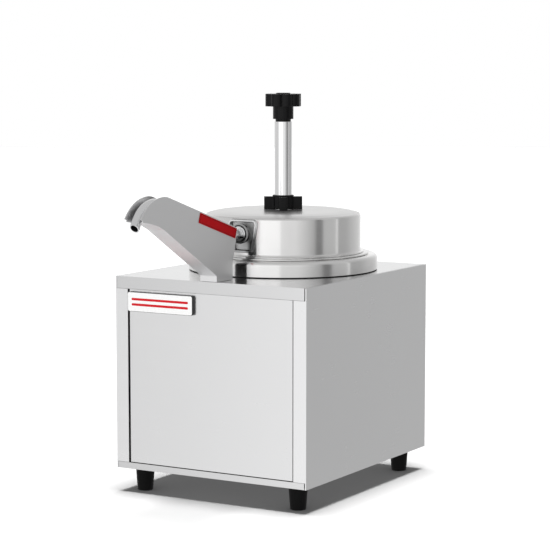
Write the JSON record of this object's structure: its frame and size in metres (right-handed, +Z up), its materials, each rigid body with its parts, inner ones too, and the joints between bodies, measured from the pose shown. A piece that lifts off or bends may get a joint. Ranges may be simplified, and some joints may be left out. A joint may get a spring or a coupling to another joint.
{
  "type": "nacho cheese dispenser",
  "caption": "Heated steel cabinet with a lift-out food pot, a deep lid carrying a push pump, and a warmed spout channel that reaches out over the front.",
  "frame": {"origin": "on the surface the feet stand on, under the middle of the whole object's box", "axes": "+Z up, the spout and front panel face -Y, the controls face +Y, +X to the right of a person facing the front"},
  "size_m": [0.27, 0.5, 0.493],
  "materials": {
    "cabinet_steel": "brushed sheet",
    "spun_steel": "spun and satin polished",
    "inner_steel": "plain mill",
    "polished_steel": "polished",
    "knob_black": "moulded, fine grain",
    "case_black": "moulded",
    "plate_white": "printed plate face with dark edge",
    "part_white": "moulded",
    "label_red": "vinyl label",
    "foot_rubber": "moulded rubber",
    "silicone": "food silicone",
    "copper_alloy": "drawn",
    "lamp_amber": "clear lens",
    "rocker_red": "moulded"
  },
  "bodies": {
    "cabinet": {"left_side_panel": "cabinet_steel", "right_side_panel": "cabinet_steel", "base_plate": "cabinet_steel", "top_deck": "cabinet_steel", "front_panel": "cabinet_steel", "back_panel": "cabinet_steel", "nameplate": "plate_white", "foot_1": "foot_rubber", "foot_2": "foot_rubber", "foot_3": "foot_rubber", "foot_4": "foot_rubber", "foot_screw_1": "polished_steel", "foot_screw_2": "polished_steel", "foot_screw_3": "polished_steel", "foot_screw_4": "polished_steel", "panel_screw_left_1": "polished_steel", "panel_screw_left_2": "polished_steel", "panel_screw_right_1": "polished_steel", "panel_screw_right_2": "polished_steel", "heating_well": "inner_steel", "well_collar": "spun_steel", "heating_element": "inner_steel", "element_clamp_bar": "inner_steel", "clamp_bolt": "polished_steel", "thermostat_bulb": "copper_alloy", "high_limit_cutout": "case_black", "thermostat_body": "case_black", "thermostat_dial": "part_white", "capillary_tube": "copper_alloy", "switch_frame": "case_black", "indicator_lamp": "lamp_amber", "power_inlet": "case_black", "terminal_block": "part_white", "spout_channel": "cabinet_steel", "channel_screw_1": "polished_steel", "channel_screw_2": "polished_steel", "spout_heater": "silicone", "hot_label": "label_red"},
    "thermostat_knob": {"thermostat_knob": "knob_black"},
    "power_rocker": {"power_rocker": "rocker_red"},
    "pot": {"food_pot": "spun_steel"},
    "lid": {"pump_lid": "spun_steel", "lid_gasket": "silicone", "outlet_frame": "spun_steel", "outlet_block": "cabinet_steel", "discharge_tube": "polished_steel", "pump_cylinder": "polished_steel", "pump_neck": "polished_steel", "neck_gasket": "silicone", "valve_body": "inner_steel", "inlet_flap": "silicone", "riser_tube": "polished_steel", "return_spring": "polished_steel"},
    "union_nut": {"union_nut": "polished_steel"},
    "lock_collar": {"lock_collar": "knob_black"},
    "plunger": {"plunger_tube": "polished_steel", "plunger_knob": "knob_black", "piston": "part_white", "piston_seal": "silicone"}
  },
  "joints": [
    {"name": "pot_lift", "type": "slide", "parent": "cabinet", "child": "pot", "axis": [0, 0, 1], "range_m": [0, 0.2]},
    {"name": "lid_lift", "type": "slide", "parent": "pot", "child": "lid", "axis": [0, 0, 1], "range_m": [0, 0.2]},
    {"name": "plunger_stroke", "type": "slide", "parent": "lid", "child": "plunger", "axis": [0, 0, -1], "range_m": [0, 0.085], "stiffness_N_per_m": 250, "springref_m": -0.02, "deforming": ["return_spring"]},
    {"name": "collar_turn", "type": "hinge", "parent": "lid", "child": "lock_collar", "pos_m": [0, 0.0905, 0.354], "axis": [0, 0, 1], "range_deg": [0, 360]},
    {"name": "union_turn", "type": "hinge", "parent": "lid", "child": "union_nut", "pos_m": [0, -0.015, 0.3226], "axis": [0, -1, 0], "range_deg": [0, 360]},
    {"name": "thermostat_turn", "type": "hinge", "parent": "cabinet", "child": "thermostat_knob", "pos_m": [0.072, 0.24, 0.195], "axis": [0, 1, 0], "range_deg": [0, 270]},
    {"name": "power_switch", "type": "hinge", "parent": "cabinet", "child": "power_rocker", "pos_m": [0.008, 0.2275, 0.195], "axis": [1, 0, 0], "range_deg": [0, 20]}
  ]
}
